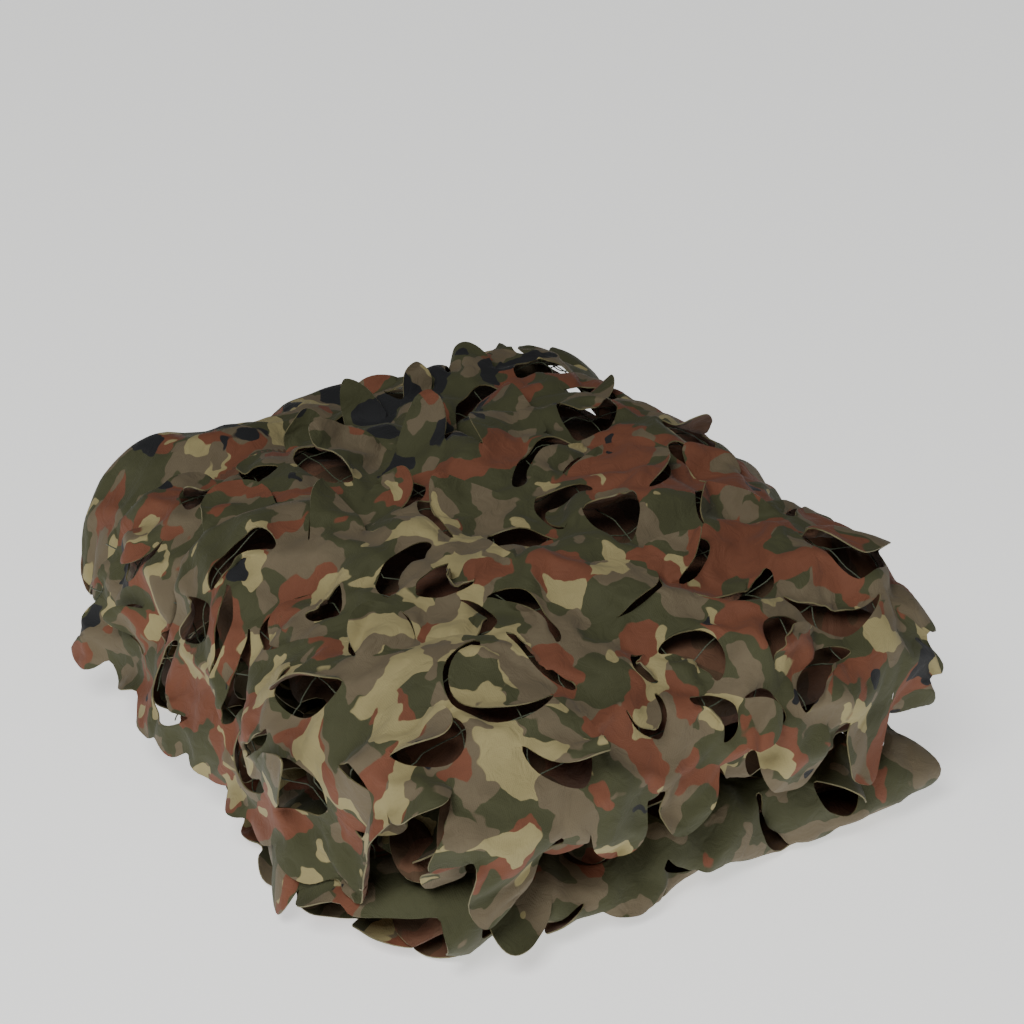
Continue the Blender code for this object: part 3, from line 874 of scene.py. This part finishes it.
def twisted_cord(colour):
    """Twisted polyester cord: pale green, with the twist as fine slanting bands, 2.2 mm apart."""
    material, surface = new_material("twisted_polyester_cord")
    on_piece = add_node(material, "TexCoord").outputs["Object"]
    sockets = {"Vector": on_piece, "Scale": WAVE_LENGTH / TWIST_SPACING}
    twist = add_node(material, "TexWave", sockets, bands_direction="DIAGONAL").outputs["Fac"]
    shades = {"A": (*(c * 0.6 for c in colour), 1), "B": (*colour, 1)}
    mix = add_node(material, "Mix", {"Factor": twist, **shades}, data_type="RGBA").outputs["Result"]
    bump = add_node(material, "Bump", {"Height": twist, "Strength": 0.4, "Distance": 0.0004})
    wire(material, surface, {"Base Color": mix, "Normal": bump, "Roughness": 0.55})
    return material


# ---- soft regions of the print, where one colour has more than its share ----
# for each, its middle across and along the strip, how far it reaches both ways, and how much more there is
REGIONS = {
    "sand": (
        (-0.18, 0.50, 0.08, 0.13, 1.1),
        (-0.10, 0.37, 0.06, 0.06, 0.7),
        (0.06, 0.16, 0.22, 0.13, -1.4),
        (0.16, 0.46, 0.10, 0.16, -0.8),
        (0.00, 1.86, 0.40, 0.14, -1.6),
    ),
    "rust": (
        (0.14, 0.40, 0.10, 0.17, 1.3),
        (-0.01, 0.57, 0.05, 0.06, 0.8),
        (-0.28, 0.18, 0.06, 0.12, 0.8),
        (-0.34, 0.35, 0.06, 0.20, 0.5),
        (-0.05, 0.63, 0.08, 0.05, 0.6),
        (0.03, 0.16, 0.12, 0.12, -0.8),
        (-0.15, 0.50, 0.10, 0.12, -0.5),
        (0.00, 1.86, 0.40, 0.12, -1.3),
    ),
    "dark": (
        (0.02, 0.16, 0.09, 0.10, 1.1),
        (0.13, 0.09, 0.08, 0.05, 0.9),
        (-0.28, 0.03, 0.10, 0.06, 0.9),
        (0.25, 0.68, 0.05, 0.08, 0.9),
        (-0.05, 5.06, 0.30, 0.06, 1.0),
    ),
}


def region_shares(flat):
    """For each colour, how much more of it each flat point has."""
    shares = {name: np.zeros(len(flat)) for name in REGIONS}
    for name, regions in REGIONS.items():
        for u, v, across, along, more in regions:
            off = ((flat - (u, v)) / (across, along)) ** 2
            shares[name] += more * np.exp(-off.sum(1))
    return shares


# ---- settling the cloth ----
SETTLE_FRAMES = 14
SMOOTH_ROUNDS = 2
CLOTH = {
    "vertex_group_mass": "held",
    "quality": 4,
    "mass": 0.0002,
    "tension_stiffness": 20,
    "compression_stiffness": 20,
    "shear_stiffness": 6,
    "bending_stiffness": 5.0,
    "tension_damping": 6,
    "compression_damping": 6,
    "shear_damping": 6,
    "bending_damping": 0.5,
    "air_damping": 1.5,
    "shrink_min": -0.06,  # slack, so that it buckles
    "pin_stiffness": 1.0,
}
GRAVITY = 0.05
CONTACT = {
    "use_collision": True,
    "distance_min": 0.002,
    "use_self_collision": True,
    "self_distance_min": 0.0014,
    "self_friction": 5,
}
UNDERNEATH = {"thickness_outer": 0.002, "cloth_friction": 20}
FLOOR_SURFACE = (np.array([[-1, -1, 0], [1, -1, 0], [1, 1, 0], [-1, 1, 0]], float), np.array([[0, 1, 2, 3]]))
# the ties to the cord mesh: how far apart, how far they stray as a share of that, how far from one the cloth
# is held fully and a little, and how firmly it is held at a tie, near one, between them, on a leaf, and up to
# a distance from the back end
TIE_PITCH = 0.075
TIE_WANDER = 0.22
TIE_REACH = (0.005, 0.008)
HELD_AT_TIE = 1.0
HELD_NEAR_TIE = 0.2
HELD_BETWEEN = 0.01
HELD_LEAF = 0.006
HELD_BACK = (0.075, 0.15)
# how far past the frame's box the cloth may stand at each side, and how much more its tips may
BOX_MARGIN = ((-0.008, -0.008, 0), (0.008, 0.008, -0.002))
TIP_ROOM = 0.012
LAID = {}  # the settled cloths, for what is laid on or under them


def new_object(name, data):
    obj = bpy.data.objects.new(name, data)
    bpy.context.scene.collection.objects.link(obj)
    return obj


def mesh_object(name, points, faces):
    data = bpy.data.meshes.new(name)
    data.from_pydata(points.tolist(), [], faces.tolist())
    return new_object(name, data)


def only_active(obj):
    bpy.ops.object.select_all(action="DESELECT")
    obj.select_set(True)
    bpy.context.view_layer.objects.active = obj


def collider(points, faces):
    """A temporary object that the settling cloth can't pass through."""
    obj = mesh_object("under", points, faces)
    obj.modifiers.new("collision", "COLLISION")
    assign(obj.collision, UNDERNEATH)
    return obj


def settled(triangles, points, hold, under):
    """The cloth's points after Blender's cloth simulation has let it sag and buckle between its ties, over
    the surfaces that lie under it."""
    walls = [collider(*surface) for surface in under]
    obj = mesh_object("settling", points, triangles)
    only_active(obj)
    group = obj.vertex_groups.new(name=CLOTH["vertex_group_mass"])
    for k, weight in enumerate(hold):
        if weight > 0:
            group.add([k], float(weight), "REPLACE")
    cloth = obj.modifiers.new("cloth", "CLOTH")
    assign(cloth.settings, CLOTH)
    cloth.settings.effector_weights.gravity = GRAVITY
    assign(cloth.collision_settings, CONTACT)
    assign(cloth.point_cache, {"frame_start": 1, "frame_end": SETTLE_FRAMES})
    scene = bpy.context.scene
    for number in range(1, SETTLE_FRAMES + 1):
        scene.frame_set(number)
    seen = obj.evaluated_get(bpy.context.evaluated_depsgraph_get())
    moved = np.empty(len(points) * 3)
    seen.data.vertices.foreach_get("co", moved)
    for gone in (obj, *walls):
        bpy.data.objects.remove(gone)
    scene.frame_set(1)
    return kept_close(smoothed(moved.reshape(-1, 3), triangles))


def smoothed(points, triangles):
    """The points without their finest ripples: an edge is smoothed along itself, the rest all round."""
    ends = np.sort(np.concatenate([triangles[:, pair] for pair in ((0, 1), (1, 2), (2, 0))]), axis=1)
    edges, uses = np.unique(ends, axis=0, return_counts=True)
    on_edge = np.zeros(len(points), bool)
    on_edge[edges[uses == 1].ravel()] = True
    a, b = edges.T
    for _ in range(SMOOTH_ROUNDS):
        total = np.zeros_like(points)
        count = np.zeros(len(points))
        for here, there in ((a, b), (b, a)):
            used = ~on_edge[here] | (uses == 1)
            np.add.at(total, here[used], points[there[used]])
            np.add.at(count, here[used], 1)
        points = points + 0.5 * (total / count[:, None] - points)
    return points


def kept_close(points):
    """The points, with tips that would stand far out of the pack's box bent back towards it."""
    low, high = np.array(CAD_BOX) + BOX_MARGIN
    middle = (low + high) / 2
    off = np.abs(points - middle)
    over = np.maximum(off - (high - low) / 2, 0)
    off = off - over + TIP_ROOM * np.tanh(over / TIP_ROOM)
    points = middle + np.copysign(off, points - middle)
    points[:, 2] = np.maximum(points[:, 2], FLOOR_LEVEL)
    return points


def tie_weights(flat, owner):
    """How firmly each flat point is held: fully at the ties to the cord mesh, a little between them, and
    hardly at all on the leaves."""
    number = np.round(flat / TIE_PITCH)
    a, b = number.T
    wander = np.stack([np.sin(a * 12.9 + b * 78.2), np.sin(a * 39.3 + b * 11.1)], 1)
    off = np.linalg.norm(flat - (number + TIE_WANDER * wander) * TIE_PITCH, axis=1)
    near_tie = np.where(off < TIE_REACH[0], HELD_AT_TIE, HELD_NEAR_TIE)
    weights = np.where(off < TIE_REACH[1], near_tie, HELD_BETWEEN)
    weights[owner >= 0] = HELD_LEAF
    weights[flat[:, 1] < HELD_BACK[0]] = HELD_BACK[1]
    return weights


# ---- making the pieces ----
COLOUR_CODES = {
    "olive": "#47482c",
    "taupe": "#6e624b",
    "rust": "#784730",
    "sand": "#a19568",
    "blue_black": "#1c1d1f",
    "reverse": "#5e412e",
    # the cut edge's pale colour is a painted highlight, where the edges catch the light
    "cut_edge_highlight": "#958a64",
}
CLOTH_MATERIALS = []
RIM_PRINT = (START["rim"] - 0.085, START["tuck"] + 0.10)  # where the inner cloth's printed side shows
SMOOTH_ANGLE = math.radians(50)


def cloth_materials():
    """The materials of the printed side, the reverse and the cut edge with its painted highlight, made once
    for both pieces of cloth.
    """
    if not CLOTH_MATERIALS:
        settings = bpy.context.scene.net_colours
        colours = {name: tuple(getattr(settings, name)) for name in COLOUR_CODES}
        for make in (printed_polyester, reverse_polyester, edge_painted_highlight_material):
            CLOTH_MATERIALS.append(make(colours))
    return CLOTH_MATERIALS


def turn_rim_print_out(data):
    """Swaps the printed side and the reverse where the inner cloth rolls over at the rim."""
    flat = data.uv_layers["flat"].data
    for face in data.polygons:
        v = flat[face.loop_start].uv[1]
        if RIM_PRINT[0] < v < RIM_PRINT[1] and face.material_index < 2:
            face.material_index = 1 - face.material_index


def make_cloth(name, flat, triangles, points):
    """A cloth piece: its surface, its flat map and its colour regions, thickened and smoothed."""
    obj = mesh_object(name, points, triangles)
    data = obj.data
    flat_map = data.uv_layers.new(name="flat")
    corners = np.empty(len(data.loops), np.int32)
    data.loops.foreach_get("vertex_index", corners)
    flat_map.data.foreach_set("uv", flat[corners].astype(np.float32).ravel())
    for region, share in region_shares(flat).items():
        attribute = data.attributes.new(region, "FLOAT", "POINT")
        attribute.data.foreach_set("value", share.astype(np.float32))
    for material in cloth_materials():
        data.materials.append(material)
    only_active(obj)
    shell = obj.modifiers.new("thickness", "SOLIDIFY")
    thickness = bpy.context.scene.net_cloth.thickness
    # the rim faces along the cut edges get the material with the painted highlight
    assign(shell, {"thickness": thickness, "offset": 0, "material_offset": 1, "material_offset_rim": 2})
    bpy.ops.object.modifier_apply(modifier=shell.name)
    bpy.ops.object.shade_smooth_by_angle(angle=SMOOTH_ANGLE)
    turn_rim_print_out(obj.data)
    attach(obj, "root")
    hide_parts("leaf_cloth")


def colour_property(name, description, code):
    return bpy.props.FloatVectorProperty(
        name=name, description=description, subtype="COLOR", min=0, max=1, default=srgb(code)
    )


def length_property(name, description, default):
    return bpy.props.FloatProperty(name=name, description=description, default=default, unit="LENGTH")


class NetColours(bpy.types.PropertyGroup):
    """The colours of the printed cloth."""

    __annotations__ = {
        name: colour_property(words.capitalize(), "Colour of the cloth's " + words, code)
        for name, words, code in ((name, name.replace("_", " "), code) for name, code in COLOUR_CODES.items())
    }


class NetCloth(bpy.types.PropertyGroup):
    """The sizes of the cloth."""

    thickness: length_property("Thickness", "Thickness of the cloth", 0.0012)
    spacing: length_property("Spacing", "Size of the triangles where the cloth shows", 0.0043)
    seed: bpy.props.IntProperty(name="Seed", description="Start of the random leaves", default=53)


class NetCords(bpy.types.PropertyGroup):
    """The sizes and colour of the cord mesh."""

    pitch: length_property("Pitch", "Distance between the cords", 0.048)
    diameter: length_property("Diameter", "Thickness of a cord", 0.0012)
    colour: colour_property("Colour", "Colour of the cords", "#59604b")


class NetStage(bpy.types.PropertyGroup):
    """The floor and the light."""

    floor: colour_property("Floor", "Colour of the floor", "#f6f6f4")
    key_power: bpy.props.FloatProperty(name="Key light", description="Power of the main light", default=57.0)


# ---- the outer cloth ----
OUTER_LEAF_TRIES = 4500
SHOWS_UNDER = 0.02  # how far past the upper front fold the outer cloth has leaves
CUT_INSET = 0.026  # how far cuts stay from the side edges, and how much more at the left and the right
MORE_INSET = (0.006, 0.012)
SPOT_CLEARANCE = 0.6  # how far filling points stay from the lines, as a share of their spacing


def fits_outer(arc):
    """Whether a cut is clear of the outer cloth's side edges and of the part that is tucked in."""
    u, v = arc.T
    insets = u - reach_of(v, -1) - MORE_INSET[0], reach_of(v, 1) - u - MORE_INSET[1]
    return v.max() < START["upper_under"] + SHOWS_UNDER and np.min(insets) > CUT_INSET


class NET_OT_outer_cloth(bpy.types.Operator):
    """Make the leaf-cut cloth of the top, the left side and the upper front fold"""

    bl_idname = "net.outer_cloth"
    bl_label = "Outer cloth"

    def execute(self, context):
        settings = context.scene.net_cloth
        chance = random.Random(settings.seed)
        outline = outer_outline(chance)
        box = box_of(outline)
        leaves = scattered_leaves(box, fits_outer, outline, chance, OUTER_LEAF_TRIES, TOP_SORT, PLACED_LEAVES)
        cuts = [leaf_arc(leaf) for leaf in leaves]
        fill = spots(box, settings.spacing)
        flat, triangles, inner = cut_out(outline, cuts, fill, settings.spacing * SPOT_CLEARANCE)
        points, owner = shaped(flat, inner, leaves, 1.0)
        points = settled(triangles, points, tie_weights(flat, owner), [FLOOR_SURFACE, LAID["inner"]])
        LAID["outer"] = (flat, points, owner < 0, triangles)
        make_cloth("leaf_cloth_outer", flat, triangles, points)
        return {"FINISHED"}


# ---- the inner cloth ----
# the parts of it that have leaves: from one distance along the strip to another
LEAFY_FRONT = (START["lower_front"] - 0.16, START["bottom"] + 0.01)
LEAFY_BACKS = (
    (START["back_outer"] - 0.12, START["back_outer"] + 0.20),
    (START["end_back"] - 0.07, START["end_back"] + 0.10),
    (START["tuck"] - 0.045, START["tuck"] + 0.10),
)
FINE_RIM = (START["rim"] - 0.12, START["tuck"])
FINE_SIDE = 0.05
FRONT_LEAF_TRIES = 160
BACK_LEAF_TRIES = 260
FINE_SPACING = 0.0058
COARSE_SPACING = 0.024
ROUGH_FRONT = 0.07  # how far past the start of the lower front fold creases are stronger
ROUGHNESS = (0.7, 0.5)  # how strong creases are before that and after it


def within(flat, part):
    """Whether flat points lie in a part of the strip."""
    return (flat[:, 1] > part[0]) & (flat[:, 1] < part[1])


def shows(flat):
    """Whether flat points of the inner cloth can be seen in the folded pack, where its mesh is fine."""
    seen = from_side(flat) < FINE_SIDE
    for part in (FINE_RIM, LEAFY_FRONT, *LEAFY_BACKS):
        seen = seen | within(flat, part)
    return seen


class NET_OT_inner_cloth(bpy.types.Operator):
    """Make the folded plies of the cloth underneath, the lower front fold and the rim"""

    bl_idname = "net.inner_cloth"
    bl_label = "Inner cloth"

    def execute(self, context):
        settings = context.scene.net_cloth
        chance = random.Random(settings.seed + 1)
        outline = inner_outline(chance)
        box = box_of(outline)
        parts = [(LEAFY_FRONT, ROLL_SORT, FRONT_LEAF_TRIES)]
        parts += [(back, BACK_SORT, BACK_LEAF_TRIES) for back in LEAFY_BACKS]
        leaves = []
        for part, sort, tries in parts:
            area = (box[0], box[1], *part)
            leaves = scattered_leaves(
                area, lambda arc, part=part: within(arc, part).all(), outline, chance, tries, sort, leaves
            )
        cuts = [leaf_arc(leaf) for leaf in leaves]
        fine, coarse = spots(box, FINE_SPACING), spots(box, COARSE_SPACING)
        fill = np.concatenate([fine[shows(fine)], coarse[~shows(coarse)]])
        flat, triangles, inner = cut_out(outline, cuts, fill, FINE_SPACING * SPOT_CLEARANCE)
        rough = np.where(flat[:, 1] < START["lower_front"] + ROUGH_FRONT, *ROUGHNESS)
        points, owner = shaped(flat, inner, leaves, rough)
        hold = np.where(shows(flat), tie_weights(flat, owner), 1.0)
        points = settled(triangles, points, hold, [FLOOR_SURFACE])
        LAID["inner"] = (points, triangles)
        make_cloth("leaf_cloth_inner", flat, triangles, points)
        return {"FINISHED"}


# ---- the cord mesh, in metres ----
CORD_REACH = (-0.37, 0.27)  # how far the cords across the strip reach, before they are trimmed to the cloth
CORD_COLUMNS = (-7, 6)  # the first cord along the strip, and the one after the last, from the middle
CORD_COLUMN_SHIFT = 0.01
CORD_START = 0.03
CORD_END = 0.12  # how far past the upper front fold there are cords
CORD_STEP = 0.006
CORD_INSET = (0.03, 0.02)  # how far cords stay from the cloth's left and right edges
CORD_WANDER = 0.010
CORD_DEPTH = 0.0060  # how far below the cloth they lie, and how much that varies
CORD_DEPTH_SPREAD = 0.002
CARRIERS = 16  # how many points of the cloth carry a point of a cord along
# how cords are kept under the settled cloth: least gap, how near the cloth has to be, and how many times
CORD_CLEARANCE = 0.0032
CLOSE_TO_CLOTH = 0.012
UNDER_ROUNDS = 3


def cord_lines(pitch):
    """The flat lines of the cords, across the strip and then along it, before they wander."""
    end = START["upper_front"] + CORD_END
    u = np.arange(*CORD_REACH, CORD_STEP)
    v = np.arange(CORD_START, end - 0.02, CORD_STEP)
    rows = [np.stack([u, np.full(len(u), k * pitch)], 1) for k in range(1, int(end / pitch))]
    shift = CORD_COLUMN_SHIFT
    columns = [np.stack([np.full(len(v), k * pitch + shift), v], 1) for k in range(*CORD_COLUMNS)]
    return rows + columns


def wandering(line, number):
    """How much each point of a cord strays, across, along and down, as shares."""
    fields = ((14, (number * 3.1, 0, 0)), (14, (0, number * 2.3, 5)), (9, (0, 0, 0)))
    return np.array(
        [[noise.noise(Vector((*at, 0)) * scale + Vector(shift)) for scale, shift in fields] for at in line]
    )


def carried(flat):
    """Where points of the flat cloth lie after it has settled, going by the cloth between its leaves."""
    around, points, leafless, _ = LAID["outer"]
    places = around[leafless]
    moves = points[leafless] - place(places)
    near = tree_of(places)
    shift = [np.mean([moves[k] for _, k, _ in near.find_n((*point, 0), CARRIERS)], axis=0) for point in flat]
    return place(flat) + np.array(shift)


def kept_under(cord):
    """Moves the points of a cord that come through the settled cloth, or too close to it, back under it."""
    flat, points, leafless, triangles = LAID["outer"]
    first, second, third = (points[triangles[:, k]] for k in range(3))
    normals = np.zeros_like(points)
    np.add.at(normals, triangles.ravel(), np.repeat(np.cross(second - first, third - first), 3, axis=0))
    normals = unit(normals)
    if (normals[leafless] * facing(flat[leafless])).sum() < 0:
        normals = -normals
    near = tree_of(points)
    for _ in range(UNDER_ROUNDS):
        found = [near.find(point) for point in cord]
        close = np.array([distance < CLOSE_TO_CLOTH for _, _, distance in found])
        nearest = [k for _, k, _ in found]
        above = ((cord - points[nearest]) * normals[nearest]).sum(1) + CORD_CLEARANCE
        cord = cord - normals[nearest] * np.where(close, np.clip(above, 0, None), 0)[:, None]
    return cord


class NET_OT_cord_mesh(bpy.types.Operator):
    """Make the mesh of thin twisted cords under the outer cloth"""

    bl_idname = "net.cord_mesh"
    bl_label = "Cord mesh"

    def execute(self, context):
        settings = context.scene.net_cords
        data = bpy.data.curves.new("mesh_cords", "CURVE")
        data.dimensions = "3D"
        data.bevel_depth = settings.diameter / 2
        data.bevel_resolution = 1
        for number, line in enumerate(cord_lines(settings.pitch)):
            wander = wandering(line, number)
            line = line + wander[:, :2] * CORD_WANDER
            u, v = line.T
            kept = (u > reach_of(v, -1) + CORD_INSET[0]) & (u < reach_of(v, 1) - CORD_INSET[1])
            line = line[kept]
            lower = CORD_DEPTH + CORD_DEPTH_SPREAD * wander[kept, 2]
            points = kept_under(carried(line) - facing(line) * lower[:, None])
            spline = data.splines.new("POLY")
            spline.points.add(len(points) - 1)
            spline.points.foreach_set("co", np.concatenate([points, np.ones((len(points), 1))], 1).ravel())
        only_active(new_object("mesh_cords", data))
        bpy.ops.object.convert(target="MESH")
        obj = context.view_layer.objects.active
        obj.name = "mesh_cords"
        obj.data.materials.append(twisted_cord(tuple(settings.colour)))
        bpy.ops.object.shade_smooth()
        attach(obj, "root")
        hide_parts("cord_mesh")
        return {"FINISHED"}


# ---- the stage ----
KEY_PLACE = (-1.55, -1.35, 2.45)
KEY_TARGET = (0, 0, 0.12)
KEY_SIZE = 1.2
WORLD_STRENGTH = 0.1
FLOOR_SIZE = 12
VIEW_TURN = math.radians(30.5)
VIEW_HEIGHT = math.radians(32.3)
VIEW_DISTANCE = 2.25
VIEW_LENS = 84.0
AIM = (0.0870, 0.0821, 0.1660)


def aim(obj, where, target):
    """Puts a light or the camera at a place and turns it to a target."""
    obj.location = where
    obj.rotation_euler = (Vector(target) - Vector(where)).to_track_quat("-Z", "Y").to_euler()


class NET_OT_stage(bpy.types.Operator):
    """Make the floor, the light and the camera"""

    bl_idname = "net.stage"
    bl_label = "Stage"

    def execute(self, context):
        settings = context.scene.net_stage
        bpy.ops.object.select_all(action="DESELECT")
        bpy.ops.mesh.primitive_plane_add(size=FLOOR_SIZE)
        floor = context.active_object
        floor.name = "floor"
        material, surface = new_material("matt_paper_floor")
        colour = (*settings.floor, 1)
        glow = {"Emission Color": colour, "Emission Strength": 0.95}
        wire(material, surface, {"Base Color": colour, "Roughness": 0.9, **glow})
        floor.data.materials.append(material)

        world = bpy.data.worlds.new("studio")
        context.scene.world = world
        world.use_nodes = True
        background = world.node_tree.nodes["Background"]
        wire(world, background, {"Color": (1, 1, 1, 1), "Strength": WORLD_STRENGTH})

        key = bpy.data.lights.new("key", "AREA")
        key.energy = settings.key_power
        key.size = KEY_SIZE
        aim(new_object("key", key), KEY_PLACE, KEY_TARGET)

        camera = bpy.data.cameras.new("camera")
        assign(camera, {"lens": VIEW_LENS, "sensor_width": 36, "clip_end": 50})
        obj = new_object("camera", camera)
        level = math.cos(VIEW_HEIGHT) * VIEW_DISTANCE
        rise = math.sin(VIEW_HEIGHT) * VIEW_DISTANCE
        away = (-math.sin(VIEW_TURN) * level, -math.cos(VIEW_TURN) * level, rise)
        aim(obj, Vector(PACK_OFFSET) + Vector(away), AIM)
        context.scene.camera = obj
        return {"FINISHED"}


class NET_PT_panel(bpy.types.Panel):
    """The steps that make the net."""

    bl_label = "Camouflage net"
    bl_idname = "NET_PT_panel"
    bl_space_type = "VIEW_3D"
    bl_region_type = "UI"
    bl_category = "Net"

    def draw(self, context):
        for operator in OPERATORS:
            self.layout.operator(operator.bl_idname)


OPERATORS = (NET_OT_stage, NET_OT_inner_cloth, NET_OT_outer_cloth, NET_OT_cord_mesh)
GROUPS = {"net_colours": NetColours, "net_cloth": NetCloth, "net_cords": NetCords, "net_stage": NetStage}


def register():
    for cls in (*GROUPS.values(), *OPERATORS, NET_PT_panel):
        bpy.utils.register_class(cls)
    for name, group in GROUPS.items():
        setattr(bpy.types.Scene, name, bpy.props.PointerProperty(type=group))


def unregister():
    for name in GROUPS:
        delattr(bpy.types.Scene, name)
    for cls in (NET_PT_panel, *reversed(OPERATORS), *reversed(tuple(GROUPS.values()))):
        bpy.utils.unregister_class(cls)


def main():
    register()
    bpy.ops.net.stage()
    bpy.ops.net.inner_cloth()
    bpy.ops.net.outer_cloth()
    bpy.ops.net.cord_mesh()


if __name__ == "__main__":
    main()
